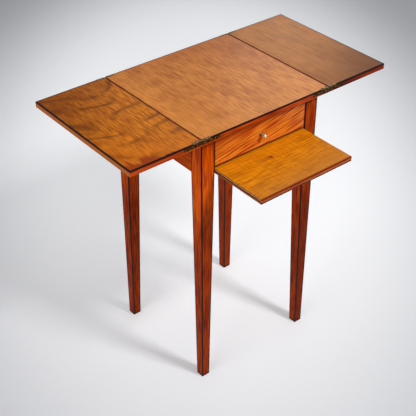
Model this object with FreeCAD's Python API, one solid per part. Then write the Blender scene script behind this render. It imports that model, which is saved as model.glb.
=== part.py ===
import FreeCAD, Part
import math
import os

# A lamp table with fold-over leaves: four tapered legs, a frame with a drawer and a pull-out slide, a centre
# board, and two leaves on brass link hinges that fold over the centre and meet in the middle.
# Millimetres, +X to the right, -Y to the front, +Z up. The origin is on the floor, midway between the legs.
# The solids stand as in use: leaves open, drawer shut, slide pulled out.

# Top and leaves
TABLE_HEIGHT = 730.0
TOP_WIDTH = 376.0  # centre board, from joint to joint
TOP_DEPTH = 368.0
BOARD_THICKNESS = 14.0
JOINT_GAP = 0.3  # between a leaf and the centre board, open and folded
LEAF_MEETING_GAP = 1.0  # a folded leaf stops this far from the middle of the top
TOP_STRING_WIDTH = 2.6  # black strip in the upper edges, in from the edge
TOP_STRING_HEIGHT = 3.4

# Frame
END_OVERHANG = 14.0  # top board past the legs, at the joints
FRONT_OVERHANG = 21.0  # top board past the legs, at front and back
LEG_SIZE = 37.0
FOOT_SIZE = 22.0
LEG_STRING = 2.8  # square black strip in the corners of the legs
APRON_HEIGHT = 101.0
TAPER_DROP = 5.0  # the taper starts this far below the rails
RAIL_THICKNESS = 18.0
RAIL_SETBACK = 1.0  # rails, drawer front and shut slide behind the faces of the legs
TENON_THICKNESS = 8.0
TENON_SHOULDER = 10.0
TENON_TIP_GAP = 2.0  # between the two tenons that meet inside a back leg
TOP_RAIL_THICKNESS = 17.0
RAIL_DOVETAIL_LENGTH = 16.0
RAIL_DOVETAIL_THICKNESS = 11.0
RAIL_DOVETAIL_MARGIN = 2.5  # from the dovetail's wide end to the strips of the leg
RAIL_DOVETAIL_FLARE = 3.0
MIDDLE_RAIL_THICKNESS = 12.0
MIDDLE_RAIL_DEPTH = 34.0
MIDDLE_TENON_LENGTH = 14.0
MIDDLE_TENON_MARGIN = 2.5

# Runners inside the frame
RUNNER_WIDTH = 37.0
GUIDE_HEIGHT = 28.0

# Slide
SLIDE_THICKNESS = 12.0
SLIDE_TRAVEL = 157.0
SLIDE_SIDE_CLEARANCE = 0.8
SLIDE_TOP_CLEARANCE = 3.0
SLIDE_BACK_CLEARANCE = 0.5
SLIDE_LIPPING = 5.0
SLIDE_LIPPING_ROUND = 1.5  # round edges of the lipping's front
TONGUE_LENGTH = 5.0
TONGUE_THICKNESS = 4.0
TONGUE_CLEARANCE = 0.25
STOP_PEG_RADIUS = 4.0
STOP_PEG_RISE = 9.0
STOP_PEG_DEPTH = 7.0
STOP_PEG_SPACING = 160.0
STOP_CLEARANCE = 0.3

# Drawer
DRAWER_FRONT_THICKNESS = 16.0
DRAWER_SIDE_THICKNESS = 9.0
DRAWER_BOTTOM_THICKNESS = 5.0
DRAWER_SIDE_CLEARANCE = 0.7
DRAWER_TOP_CLEARANCE = 1.0
DRAWER_RUN_CLEARANCE = 0.3
DRAWER_BACK_CLEARANCE = 13.0
DRAWER_GROOVE_DEPTH = 4.0
DRAWER_GROOVE_RISE = 5.0  # from the lower edge of a side to the bottom board
DRAWER_LAP = 5.0  # wood left in front of the front dovetails
DRAWER_TAILS = 3
DRAWER_TAIL_FLARE = 1.6
DRAWER_TAIL_SHARE = 0.5  # width of a tail at its root, in parts of its pitch
DRAWER_NAIL_RADIUS = 0.8
DRAWER_NAIL_LENGTH = 17.0
DRAWER_NAIL_SPACING = 90.0

# Knob
KNOB_RADIUS = 6.2
KNOB_LENGTH = 18.0
KNOB_NECK_RADIUS = 2.8
KNOB_ROSE_RADIUS = 5.5
KNOB_ROSE_THICKNESS = 1.2
KNOB_STUD_RADIUS = 2.0
KNOB_HOLE_CLEARANCE = 0.1
KNOB_NUT_RADIUS = 4.2
KNOB_NUT_THICKNESS = 3.0
KNOB_STUD_PROUD = 1.0

# Link hinges
HINGE_LENGTH = 50.0  # one plate, from the joint to its end
HINGE_HEIGHT = 11.0
HINGE_HEAD_LENGTH = 24.0
HINGE_HEAD_DEPTH = 6.5
HINGE_TAIL_THICKNESS = 2.5
PIN_INSET = 3.0  # a pin from the joint, and from the upper face
PIN_RADIUS = 1.0
PIN_CLEARANCE = 0.05
PIN_END_CLEARANCE = 0.2
LINK_PIN_CLEARANCE = 0.02
LINK_THICKNESS = 2.0
LINK_SIDE_CLEARANCE = 0.15
LINK_EDGE_CLEARANCE = 0.3

# Screws: radius of the head, radius of the shank, whole length
HINGE_SCREW_HEAD = 2.4
HINGE_SCREW_SHANK = 1.2
HINGE_SCREW_LENGTH = 14.0
HINGE_SCREW_PLACES = (16.0, 40.0)  # from the joint
FRAME_SCREW_HEAD = 3.8
FRAME_SCREW_SHANK = 2.0
FRAME_SCREW_LENGTH = 25.0
SCREW_SLOT = 0.6
GUIDE_SCREW_SPACING = 90.0
KICKER_SCREW_SPACING = 160.0
TOP_RAIL_SCREW_SPACING = 140.0

# Places worked out from the sizes
UNDER_TOP = TABLE_HEIGHT - BOARD_THICKNESS
APRON_Z = UNDER_TOP - APRON_HEIGHT
TAPER_Z = APRON_Z - TAPER_DROP
JOINT_X = TOP_WIDTH / 2
EDGE_Y = TOP_DEPTH / 2
LEAF_WIDTH = JOINT_X - LEAF_MEETING_GAP
LEG_X = JOINT_X - END_OVERHANG
LEG_Y = EDGE_Y - FRONT_OVERHANG
INNER_X = LEG_X - LEG_SIZE
INNER_Y = LEG_Y - LEG_SIZE
FRONT_Y = -LEG_Y + RAIL_SETBACK
RAIL_IN_X = LEG_X - RAIL_SETBACK - RAIL_THICKNESS
RAIL_IN_Y = LEG_Y - RAIL_SETBACK - RAIL_THICKNESS
TENON_LENGTH = LEG_SIZE - RAIL_SETBACK - RAIL_THICKNESS / 2 - TENON_THICKNESS / 2 - TENON_TIP_GAP
SLIDE_TOP = APRON_Z + SLIDE_THICKNESS
SLIDE_FRONT = FRONT_Y - SLIDE_TRAVEL
MIDDLE_RAIL_Z = SLIDE_TOP + SLIDE_TOP_CLEARANCE
RUNNER_TOP = MIDDLE_RAIL_Z + MIDDLE_RAIL_THICKNESS
MIDDLE_RAIL_FRONT = FRONT_Y + DRAWER_FRONT_THICKNESS + STOP_CLEARANCE
MIDDLE_RAIL_BACK = MIDDLE_RAIL_FRONT + MIDDLE_RAIL_DEPTH
KICKER_Z = UNDER_TOP - TOP_RAIL_THICKNESS
RUNNER_IN_X = RAIL_IN_X - RUNNER_WIDTH
DRAWER_X = INNER_X - DRAWER_SIDE_CLEARANCE
DRAWER_IN_X = DRAWER_X - DRAWER_SIDE_THICKNESS
DRAWER_FRONT_BACK = FRONT_Y + DRAWER_FRONT_THICKNESS
DRAWER_END = RAIL_IN_Y - DRAWER_BACK_CLEARANCE
DRAWER_Z = RUNNER_TOP + DRAWER_RUN_CLEARANCE
DRAWER_TOP = KICKER_Z - DRAWER_TOP_CLEARANCE
DRAWER_FLOOR = DRAWER_Z + DRAWER_GROOVE_RISE
DRAWER_FLOOR_TOP = DRAWER_FLOOR + DRAWER_BOTTOM_THICKNESS
PIN_Z = TABLE_HEIGHT - PIN_INSET
LINK_RADIUS = PIN_INSET - LINK_EDGE_CLEARANCE
LINK_SLOT = PIN_INSET + LINK_RADIUS + LINK_EDGE_CLEARANCE
HINGE_Z = TABLE_HEIGHT - HINGE_HEIGHT
STRING_Z = TABLE_HEIGHT - TOP_STRING_HEIGHT

SIDES = {"left": -1, "right": 1}
ENDS = {"front": -1, "back": 1}
UP = FreeCAD.Vector(0, 0, 1)
ALONG_Y = FreeCAD.Vector(0, 1, 0)

nodes = {}


def box(x, y, z):
    """Box between two values along each axis, given in any order."""
    low = [min(pair) for pair in (x, y, z)]
    size = [abs(pair[1] - pair[0]) for pair in (x, y, z)]
    return Part.makeBox(*size, FreeCAD.Vector(*low))


def prism(points, direction):
    """Flat outline of points carried along a direction."""
    corners = [FreeCAD.Vector(*point) for point in points]
    return Part.Face(Part.makePolygon(corners + corners[:1])).extrude(direction)


def rod(centre, radius, along):
    """Round bar from a centre along a vector."""
    return Part.makeCylinder(radius, along.Length, FreeCAD.Vector(*centre), along)


def frustum(low, low_z, high, high_z):
    """Solid between two level rectangles, each given as a pair along X and a pair along Y."""
    def ring(rectangle, z):
        (x0, x1), (y0, y1) = [sorted(pair) for pair in rectangle]
        return [FreeCAD.Vector(x, y, z) for x, y in ((x0, y0), (x1, y0), (x1, y1), (x0, y1))]

    bottom = ring(low, low_z)
    top = ring(high, high_z)
    loops = [bottom[::-1], top]
    for here, there in zip(range(4), (1, 2, 3, 0)):
        loops.append([bottom[here], bottom[there], top[there], top[here]])
    shell = Part.makeShell([Part.Face(Part.makePolygon(loop + loop[:1])) for loop in loops])
    return Part.makeSolid(shell)


def fused(first, *others):
    """One solid, with the seams between coplanar faces removed."""
    return first.fuse(list(others)).removeSplitter()


def screw(at, direction, head, shank, length):
    """Countersunk slotted screw whose head lies level with a face, driven along a direction."""
    start = FreeCAD.Vector(*at)
    along = FreeCAD.Vector(*direction)
    sink = head - shank
    body = Part.makeCone(head, shank, sink, start, along)
    body = fused(body, Part.makeCylinder(shank, length - sink, start + along * sink, along))
    slot = Part.makeBox(2 * head, SCREW_SLOT, SCREW_SLOT)
    slot.translate(FreeCAD.Vector(-head, -SCREW_SLOT / 2, 0))
    slot.Placement = FreeCAD.Placement(start, FreeCAD.Rotation(UP, along)) * slot.Placement
    return body, body.cut(slot)


# Rails

def end_rail(side):
    """Rail between a front and a back leg, with a tenon at each end."""
    sign = SIDES[side]
    outer = sign * (LEG_X - RAIL_SETBACK)
    middle = sign * (RAIL_IN_X + RAIL_THICKNESS / 2)
    body = box((sign * RAIL_IN_X, outer), (-INNER_Y, INNER_Y), (APRON_Z, UNDER_TOP))
    reach = INNER_Y + TENON_LENGTH
    half = TENON_THICKNESS / 2
    tenon = box((middle - half, middle + half), (-reach, reach),
                (APRON_Z + TENON_SHOULDER, UNDER_TOP - TENON_SHOULDER))
    return fused(body, tenon)


def back_rail():
    """Rail between the back legs, with a tenon at each end."""
    body = box((-INNER_X, INNER_X), (RAIL_IN_Y, RAIL_IN_Y + RAIL_THICKNESS), (APRON_Z, UNDER_TOP))
    reach = INNER_X + TENON_LENGTH
    middle = RAIL_IN_Y + RAIL_THICKNESS / 2
    half = TENON_THICKNESS / 2
    tenon = box((-reach, reach), (middle - half, middle + half),
                (APRON_Z + TENON_SHOULDER, UNDER_TOP - TENON_SHOULDER))
    return fused(body, tenon)


def front_top_rail():
    """Rail over the drawer, lapped into the tops of the front legs by dovetails."""
    body = box((-INNER_X, INNER_X), (FRONT_Y, -INNER_Y), (KICKER_Z, UNDER_TOP))
    margin = LEG_STRING + RAIL_DOVETAIL_MARGIN
    wide = (margin - LEG_Y, -INNER_Y - margin)
    narrow = (wide[0] + RAIL_DOVETAIL_FLARE, wide[1] - RAIL_DOVETAIL_FLARE)
    tails = []
    for sign in SIDES.values():
        root = sign * INNER_X
        tip = sign * (INNER_X + RAIL_DOVETAIL_LENGTH)
        z = UNDER_TOP - RAIL_DOVETAIL_THICKNESS
        outline = [(root, narrow[0], z), (tip, wide[0], z), (tip, wide[1], z), (root, narrow[1], z)]
        tails.append(prism(outline, UP * RAIL_DOVETAIL_THICKNESS))
    return fused(body, *tails)


def front_middle_rail():
    """Rail between drawer and slide, behind the drawer front, with a stub tenon at each end."""
    body = box((-INNER_X, INNER_X), (MIDDLE_RAIL_FRONT, MIDDLE_RAIL_BACK), (MIDDLE_RAIL_Z, RUNNER_TOP))
    reach = INNER_X + MIDDLE_TENON_LENGTH
    tenon_back = -INNER_Y - LEG_STRING - MIDDLE_TENON_MARGIN
    tenon = box((-reach, reach), (MIDDLE_RAIL_FRONT + MIDDLE_TENON_MARGIN, tenon_back),
                (MIDDLE_RAIL_Z + MIDDLE_TENON_MARGIN, RUNNER_TOP - MIDDLE_TENON_MARGIN))
    return fused(body, tenon)


# Legs

def leg_span(end, outer, inner):
    """Two values along an axis, each measured inwards from the outer face of a leg."""
    sign, face = end
    return (sign * (face - outer), sign * (face - inner))


def leg_stick(x_end, y_end, low, high):
    """Stick that leans from the floor to the start of the taper and then stands straight up to the top.

    low and high give its (outer, inner) distances from the leg's outer faces, along X and along Y.
    """
    floor = [leg_span(end, *pair) for end, pair in zip((x_end, y_end), low)]
    upper = [leg_span(end, *pair) for end, pair in zip((x_end, y_end), high)]
    return fused(frustum(floor, 0.0, upper, TAPER_Z), box(*upper, (TAPER_Z, UNDER_TOP)))


def leg_strings(x_end, y_end):
    """Strips in the four corners of a leg."""
    def band(size, inner):
        return (size - LEG_STRING, size) if inner else (0.0, LEG_STRING)

    strips = []
    for inner_x in (False, True):
        for inner_y in (False, True):
            low = [band(FOOT_SIZE, inner_x), band(FOOT_SIZE, inner_y)]
            high = [band(LEG_SIZE, inner_x), band(LEG_SIZE, inner_y)]
            strips.append(leg_stick(x_end, y_end, low, high))
    return strips


def leg(x_end, y_end, strips, rails):
    """Square leg, tapered on its two inner faces, cut for its strips and for the rails."""
    stick = leg_stick(x_end, y_end, [(0.0, FOOT_SIZE)] * 2, [(0.0, LEG_SIZE)] * 2)
    return stick.cut(strips + rails)


# Runners and guides

def side_strip(side, inner, z):
    """Strip along an end rail, between the legs, reaching in from the rail to a distance from the middle."""
    sign = SIDES[side]
    return box((sign * RAIL_IN_X, sign * inner), (-INNER_Y, INNER_Y), z)


def slide_runner(side):
    """Strip beside the slide, with a tongue that runs in the groove in the slide's edge."""
    sign = SIDES[side]
    middle = APRON_Z + SLIDE_THICKNESS / 2
    body = side_strip(side, INNER_X, (APRON_Z, MIDDLE_RAIL_Z))
    tongue = box((sign * INNER_X, sign * (INNER_X - TONGUE_LENGTH)), (-INNER_Y, INNER_Y),
                 (middle - TONGUE_THICKNESS / 2, middle + TONGUE_THICKNESS / 2))
    return fused(body, tongue)


# Top boards and hinges

def joint_round(side, direction):
    """What is cut off a board's upper edge at the joint, so that it is round about the hinge pin.

    direction is -1 on the centre board's side of the joint and 1 on the leaf's.
    """
    edge = board_x(side, direction, 0.0)
    pin = board_x(side, direction, PIN_INSET)
    corner = box((edge, pin), (-EDGE_Y, EDGE_Y), (PIN_Z, TABLE_HEIGHT))
    return corner.cut(rod((pin, -EDGE_Y, PIN_Z), PIN_INSET, ALONG_Y * TOP_DEPTH))


def board_x(side, direction, distance):
    """Place along X at a distance from the joint, on the centre board's side (-1) or the leaf's (1)."""
    start = JOINT_X if direction < 0 else JOINT_X + JOINT_GAP
    return SIDES[side] * (start + direction * distance)


def edge_y(end, depth):
    """Place along Y at a depth behind the front or back edge."""
    return ENDS[end] * (EDGE_Y - depth)


def hinge_plate(side, direction, end):
    """Brass plate let into a board's edge: a thick head for the link, and a thin tail below the strip."""
    joint = board_x(side, direction, 0.0)
    head = box((joint, board_x(side, direction, HINGE_HEAD_LENGTH)),
               (edge_y(end, 0.0), edge_y(end, HINGE_HEAD_DEPTH)), (HINGE_Z, TABLE_HEIGHT))
    tail = box((joint, board_x(side, direction, HINGE_LENGTH)),
               (edge_y(end, 0.0), edge_y(end, HINGE_TAIL_THICKNESS)), (HINGE_Z, STRING_Z))
    return fused(head, tail).cut(joint_round(side, direction))


def link_span(end, clearance):
    """Front and back of a link, or of its slot where a clearance is given, along Y."""
    half = LINK_THICKNESS / 2 + clearance
    middle = HINGE_HEAD_DEPTH / 2
    return edge_y(end, middle - half), edge_y(end, middle + half)


def hinge_openings(side, direction, end):
    """Slot for the link and hole for the pin in a hinge plate."""
    slot = box((board_x(side, direction, -JOINT_GAP), board_x(side, direction, LINK_SLOT)),
               link_span(end, LINK_SIDE_CLEARANCE), (TABLE_HEIGHT - LINK_SLOT, TABLE_HEIGHT))
    hole = hinge_pin(side, direction, end, PIN_CLEARANCE, 0.0)
    return [slot, hole]


def hinge_pin(side, direction, end, radial, end_gap):
    """Pin across the head of a hinge plate."""
    start = edge_y(end, end_gap)
    along = ALONG_Y * (edge_y(end, HINGE_HEAD_DEPTH - end_gap) - start)
    return rod((board_x(side, direction, PIN_INSET), start, PIN_Z), PIN_RADIUS + radial, along)


def hinge_link(side, end):
    """Short brass link with round ends about the two pins."""
    front, back = link_span(end, 0.0)
    along = ALONG_Y * (back - front)
    places = [board_x(side, direction, PIN_INSET) for direction in (-1, 1)]
    ends = [rod((x, front, PIN_Z), LINK_RADIUS, along) for x in places]
    middle = box(places, (front, back), (PIN_Z - LINK_RADIUS, PIN_Z + LINK_RADIUS))
    holes = [rod((x, front, PIN_Z), PIN_RADIUS + LINK_PIN_CLEARANCE, along) for x in places]
    return fused(middle, *ends).cut(holes)


def hinge_screws(side, direction, end):
    """Screws through a hinge plate into the edge of its board."""
    z = (HINGE_Z + STRING_Z) / 2
    inwards = (0, -ENDS[end], 0)
    return [screw((board_x(side, direction, place), edge_y(end, 0.0), z), inwards,
                  HINGE_SCREW_HEAD, HINGE_SCREW_SHANK, HINGE_SCREW_LENGTH)
            for place in HINGE_SCREW_PLACES]


def edge_string(x0, x1, end, mitre):
    """Strip in a board's front or back upper edge, from x0 to x1, with its x1 end mitred by an amount."""
    outer = edge_y(end, 0.0)
    inner = edge_y(end, TOP_STRING_WIDTH)
    corners = [(x0, outer), (x1, outer), (x1 - mitre, inner), (x0, inner)]
    return prism([(x, y, STRING_Z) for x, y in corners], UP * TOP_STRING_HEIGHT)


def leaf_strings(side):
    """Strips in the three free edges of a leaf, mitred at the corners."""
    sign = SIDES[side]
    start = board_x(side, 1, HINGE_HEAD_LENGTH)
    tip = board_x(side, 1, LEAF_WIDTH)
    inner = board_x(side, 1, LEAF_WIDTH - TOP_STRING_WIDTH)
    strips = [edge_string(start, tip, end, sign * TOP_STRING_WIDTH) for end in ENDS]
    reach = EDGE_Y - TOP_STRING_WIDTH
    corners = [(tip, -EDGE_Y), (tip, EDGE_Y), (inner, reach), (inner, -reach)]
    strips.append(prism([(x, y, STRING_Z) for x, y in corners], UP * TOP_STRING_HEIGHT))
    return strips


def board(x):
    """Plain board of the top, between two values along X."""
    return box(x, (-EDGE_Y, EDGE_Y), (UNDER_TOP, TABLE_HEIGHT))


def make_hinge(side, direction, end, name, fasteners):
    """One hinge plate with its openings and screws; returns what has to be cut out of the board."""
    plate = hinge_plate(side, direction, end)
    seats = []
    for whole, slotted in hinge_screws(side, direction, end):
        seats.append(whole)
        fasteners.append(slotted)
    nodes[name] = plate.cut(hinge_openings(side, direction, end) + seats)
    return [plate] + seats


def make_top(seats):
    """Centre board, its hinge plates and strips; seats are the holes of the screws from below."""
    cuts = list(seats)
    screws = []
    for side in SIDES:
        cuts.append(joint_round(side, -1))
        for end in ENDS:
            cuts += make_hinge(side, -1, end, f"hinge_plate_top_{end}_{side}", screws)
    start = board_x("left", -1, HINGE_HEAD_LENGTH)
    for end in ENDS:
        strip = edge_string(start, -start, end, 0.0)
        nodes[f"top_stringing_{end}"] = strip
        cuts.append(strip)
    nodes["top_board"] = board((-JOINT_X, JOINT_X)).cut(cuts)
    nodes["hinge_screws_top"] = Part.makeCompound(screws)


def make_leaf(side):
    """One leaf with its hinge plates and strips, and the links and pins that carry it."""
    strips = leaf_strings(side)
    cuts = [joint_round(side, 1)] + strips
    screws = []
    pins = []
    for end in ENDS:
        cuts += make_hinge(side, 1, end, f"hinge_plate_leaf_{end}_{side}", screws)
        nodes[f"hinge_link_{end}_{side}"] = hinge_link(side, end)
        for direction in (-1, 1):
            pins.append(hinge_pin(side, direction, end, 0.0, PIN_END_CLEARANCE))
    leaf = board((board_x(side, 1, 0.0), board_x(side, 1, LEAF_WIDTH)))
    nodes[f"leaf_{side}"] = leaf.cut(cuts)
    nodes[f"leaf_stringing_{side}"] = Part.makeCompound(strips)
    nodes[f"hinge_screws_leaf_{side}"] = Part.makeCompound(screws)
    nodes[f"hinge_pins_{side}"] = Part.makeCompound(pins)


# Frame as a whole

def frame_screws():
    """Screws of the frame by group, each as its whole shape and as the slotted screw."""
    size = (FRAME_SCREW_HEAD, FRAME_SCREW_SHANK, FRAME_SCREW_LENGTH)
    kicker_x = (RAIL_IN_X + RUNNER_IN_X) / 2
    strip_x = (RAIL_IN_X + INNER_X) / 2
    guide_z = RUNNER_TOP + GUIDE_HEIGHT / 2
    rail_y = (FRONT_Y - INNER_Y) / 2
    groups = {"top_fixing_screws": [], "guide_screws": [], "slide_runner_screws": []}
    for sign in SIDES.values():
        groups["top_fixing_screws"].append(
            screw((sign * TOP_RAIL_SCREW_SPACING / 2, rail_y, KICKER_Z), (0, 0, 1), *size))
        for row in (-1, 1):
            groups["top_fixing_screws"].append(
                screw((sign * kicker_x, row * KICKER_SCREW_SPACING / 2, KICKER_Z), (0, 0, 1), *size))
        for row in (-1, 0, 1):
            y = row * GUIDE_SCREW_SPACING
            groups["guide_screws"].append(screw((sign * INNER_X, y, guide_z), (sign, 0, 0), *size))
            groups["slide_runner_screws"].append(screw((sign * strip_x, y, APRON_Z), (0, 0, 1), *size))
    return groups


def make_frame():
    """Legs, rails, runners and the screws that hold them; returns the screw holes for the top board."""
    groups = frame_screws()
    holes = {name: [whole for whole, slotted in pairs] for name, pairs in groups.items()}
    for name, pairs in groups.items():
        nodes[name] = Part.makeCompound([slotted for whole, slotted in pairs])
    middle_rail = front_middle_rail()
    top_rail = front_top_rail()
    rails = [middle_rail, top_rail, back_rail()] + [end_rail(side) for side in SIDES]
    for side, sign in SIDES.items():
        for end, row in ENDS.items():
            x_end = (sign, LEG_X)
            y_end = (row, LEG_Y)
            strips = leg_strings(x_end, y_end)
            nodes[f"leg_{end}_{side}"] = leg(x_end, y_end, strips, rails)
            nodes[f"leg_stringing_{end}_{side}"] = Part.makeCompound(strips)
        nodes[f"end_rail_{side}"] = end_rail(side).cut(holes["guide_screws"])
        kicker = side_strip(side, RUNNER_IN_X, (KICKER_Z, UNDER_TOP))
        nodes[f"drawer_kicker_{side}"] = kicker.cut(holes["top_fixing_screws"])
        runner = side_strip(side, RUNNER_IN_X, (MIDDLE_RAIL_Z, RUNNER_TOP))
        nodes[f"drawer_runner_{side}"] = runner.cut([middle_rail] + holes["slide_runner_screws"])
        guide = side_strip(side, INNER_X, (RUNNER_TOP, RUNNER_TOP + GUIDE_HEIGHT))
        nodes[f"drawer_guide_{side}"] = guide.cut(holes["guide_screws"])
        nodes[f"slide_runner_{side}"] = slide_runner(side).cut(holes["slide_runner_screws"])
    nodes["back_rail"] = back_rail()
    nodes["front_top_rail"] = top_rail.cut(holes["top_fixing_screws"])
    nodes["front_middle_rail"] = middle_rail
    return holes["top_fixing_screws"]


# Drawer

def drawer_tails(side, y_root, y_tip, z_low, z_high):
    """Dovetails on an end of a drawer side, wider at the tip than at the root."""
    sign = SIDES[side]
    pitch = (z_high - z_low) / DRAWER_TAILS
    half = pitch * DRAWER_TAIL_SHARE / 2
    wide = half + DRAWER_TAIL_FLARE
    tails = []
    for count in range(DRAWER_TAILS):
        z = z_low + (count + 0.5) * pitch
        x = sign * DRAWER_IN_X
        outline = [(x, y_root, z - half), (x, y_tip, z - wide), (x, y_tip, z + wide), (x, y_root, z + half)]
        tails.append(prism(outline, FreeCAD.Vector(sign * DRAWER_SIDE_THICKNESS, 0, 0)))
    return tails


def drawer_side(side):
    """Drawer side with lapped dovetails to the front and through dovetails to the back."""
    sign = SIDES[side]
    x = (sign * DRAWER_IN_X, sign * DRAWER_X)
    back_in = DRAWER_END - DRAWER_SIDE_THICKNESS
    body = box(x, (DRAWER_FRONT_BACK, back_in), (DRAWER_Z, DRAWER_TOP))
    heel = box(x, (back_in, DRAWER_END), (DRAWER_Z, DRAWER_FLOOR_TOP))
    front = drawer_tails(side, DRAWER_FRONT_BACK, FRONT_Y + DRAWER_LAP, DRAWER_Z, DRAWER_TOP)
    back = drawer_tails(side, back_in, DRAWER_END, DRAWER_FLOOR_TOP, DRAWER_TOP)
    return fused(body, heel, *front, *back)


def knob():
    """Turned knob with a rose, a hollowed neck and a ball, on a stud that goes through the drawer front."""
    cove = KNOB_ROSE_RADIUS - KNOB_NECK_RADIUS
    cove_centre = KNOB_ROSE_THICKNESS + cove
    lean = cove / math.sqrt(2)
    ball = KNOB_LENGTH - KNOB_RADIUS
    meet = ball - math.sqrt(KNOB_RADIUS ** 2 - KNOB_NECK_RADIUS ** 2)
    stud = DRAWER_FRONT_THICKNESS + KNOB_NUT_THICKNESS + KNOB_STUD_PROUD

    def at(radius, proud):
        return FreeCAD.Vector(radius, FRONT_Y - proud, 0)

    def straight(*ends):
        return Part.LineSegment(*ends).toShape()

    tip = at(0, KNOB_LENGTH)
    tail = at(0, -stud)
    stud_end = at(KNOB_STUD_RADIUS, -stud)
    stud_root = at(KNOB_STUD_RADIUS, 0)
    rose_back = at(KNOB_ROSE_RADIUS, 0)
    rose_front = at(KNOB_ROSE_RADIUS, KNOB_ROSE_THICKNESS)
    neck = at(KNOB_NECK_RADIUS, cove_centre)
    ball_start = at(KNOB_NECK_RADIUS, meet)
    hollow = Part.Arc(rose_front, at(KNOB_ROSE_RADIUS - lean, cove_centre - lean), neck).toShape()
    round_end = Part.Arc(ball_start, at(KNOB_RADIUS, ball), tip).toShape()
    edges = [straight(tail, stud_end), straight(stud_end, stud_root), straight(stud_root, rose_back),
             straight(rose_back, rose_front), hollow, straight(neck, ball_start), round_end,
             straight(tip, tail)]
    turned = Part.Face(Part.Wire(edges)).revolve(FreeCAD.Vector(0, 0, 0), ALONG_Y, 360)
    turned.translate(UP * knob_height())
    return turned


def knob_height():
    """Height of the knob, at the middle of the drawer front."""
    return (MIDDLE_RAIL_Z + DRAWER_TOP) / 2


def knob_nut():
    """Hexagonal nut on the stud, against the back of the drawer front."""
    corners = []
    for count in range(6):
        turn = math.radians(60 * count)
        corners.append((KNOB_NUT_RADIUS * math.cos(turn), DRAWER_FRONT_BACK,
                        knob_height() + KNOB_NUT_RADIUS * math.sin(turn)))
    return prism(corners, ALONG_Y * KNOB_NUT_THICKNESS)


def make_drawer():
    """Drawer front, sides, back, bottom, nails, knob and nut."""
    front = box((-DRAWER_X, DRAWER_X), (FRONT_Y, DRAWER_FRONT_BACK), (MIDDLE_RAIL_Z, DRAWER_TOP))
    back_in = DRAWER_END - DRAWER_SIDE_THICKNESS
    back = box((-DRAWER_X, DRAWER_X), (back_in, DRAWER_END), (DRAWER_FLOOR_TOP, DRAWER_TOP))
    reach = DRAWER_IN_X + DRAWER_GROOVE_DEPTH
    floor = box((-reach, reach), (DRAWER_FRONT_BACK - DRAWER_GROOVE_DEPTH, DRAWER_END),
                (DRAWER_FLOOR, DRAWER_FLOOR_TOP))
    nails = [rod((count * DRAWER_NAIL_SPACING, (back_in + DRAWER_END) / 2, DRAWER_FLOOR),
                 DRAWER_NAIL_RADIUS, UP * DRAWER_NAIL_LENGTH) for count in (-1, 0, 1)]
    sides = {side: drawer_side(side) for side in SIDES}
    turned = knob()
    stud_hole = rod((0, FRONT_Y, knob_height()), KNOB_STUD_RADIUS + KNOB_HOLE_CLEARANCE,
                    ALONG_Y * DRAWER_FRONT_THICKNESS)
    nodes["drawer_front"] = front.cut([*sides.values(), floor, stud_hole])
    nodes["drawer_back"] = back.cut([*sides.values(), *nails])
    nodes["drawer_bottom"] = floor.cut(nails)
    nodes["drawer_bottom_nails"] = Part.makeCompound(nails)
    for side, shape in sides.items():
        nodes[f"drawer_side_{side}"] = shape.cut(floor)
    nodes["drawer_knob"] = turned
    nodes["drawer_knob_nut"] = knob_nut().cut(turned)


# Slide

def slide_lipping(half, back, z):
    """Strip across the front of the slide, with the edges of its front face rounded."""
    strip = box((-half, half), (SLIDE_FRONT, back), z)
    front_edges = [edge for edge in strip.Edges if edge.BoundBox.YMax < (SLIDE_FRONT + back) / 2]
    return strip.makeFillet(SLIDE_LIPPING_ROUND, front_edges)


def make_slide():
    """Pull-out slide with a groove in each edge, a lipping in front and two stop pegs."""
    half = INNER_X - SLIDE_SIDE_CLEARANCE
    back = RAIL_IN_Y - SLIDE_BACK_CLEARANCE - SLIDE_TRAVEL
    lip_back = SLIDE_FRONT + SLIDE_LIPPING
    z = (APRON_Z, SLIDE_TOP)
    middle = APRON_Z + SLIDE_THICKNESS / 2
    groove_half = TONGUE_THICKNESS / 2 + TONGUE_CLEARANCE
    grooves = [box((sign * half, sign * (INNER_X - TONGUE_LENGTH - TONGUE_CLEARANCE)), (lip_back, back),
                   (middle - groove_half, middle + groove_half)) for sign in SIDES.values()]
    peg_y = MIDDLE_RAIL_BACK + STOP_CLEARANCE + STOP_PEG_RADIUS
    pegs = [rod((sign * STOP_PEG_SPACING / 2, peg_y, SLIDE_TOP - STOP_PEG_DEPTH), STOP_PEG_RADIUS,
                UP * (STOP_PEG_DEPTH + STOP_PEG_RISE)) for sign in SIDES.values()]
    nodes["slide_board"] = box((-half, half), (lip_back, back), z).cut(grooves + pegs)
    nodes["slide_lipping"] = slide_lipping(half, lip_back, z)
    nodes["slide_stop_pegs"] = Part.makeCompound(pegs)


def main():
    top_holes = make_frame()
    make_top(top_holes)
    for side in SIDES:
        make_leaf(side)
    make_drawer()
    make_slide()
    os.makedirs("parts", exist_ok=True)
    for name, shape in nodes.items():
        shape.exportStep(f"parts/{name}.step")
    print(len(nodes), "nodes,", sum(len(shape.Solids) for shape in nodes.values()), "solids")


main()
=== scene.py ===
# %% [markdown]
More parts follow.
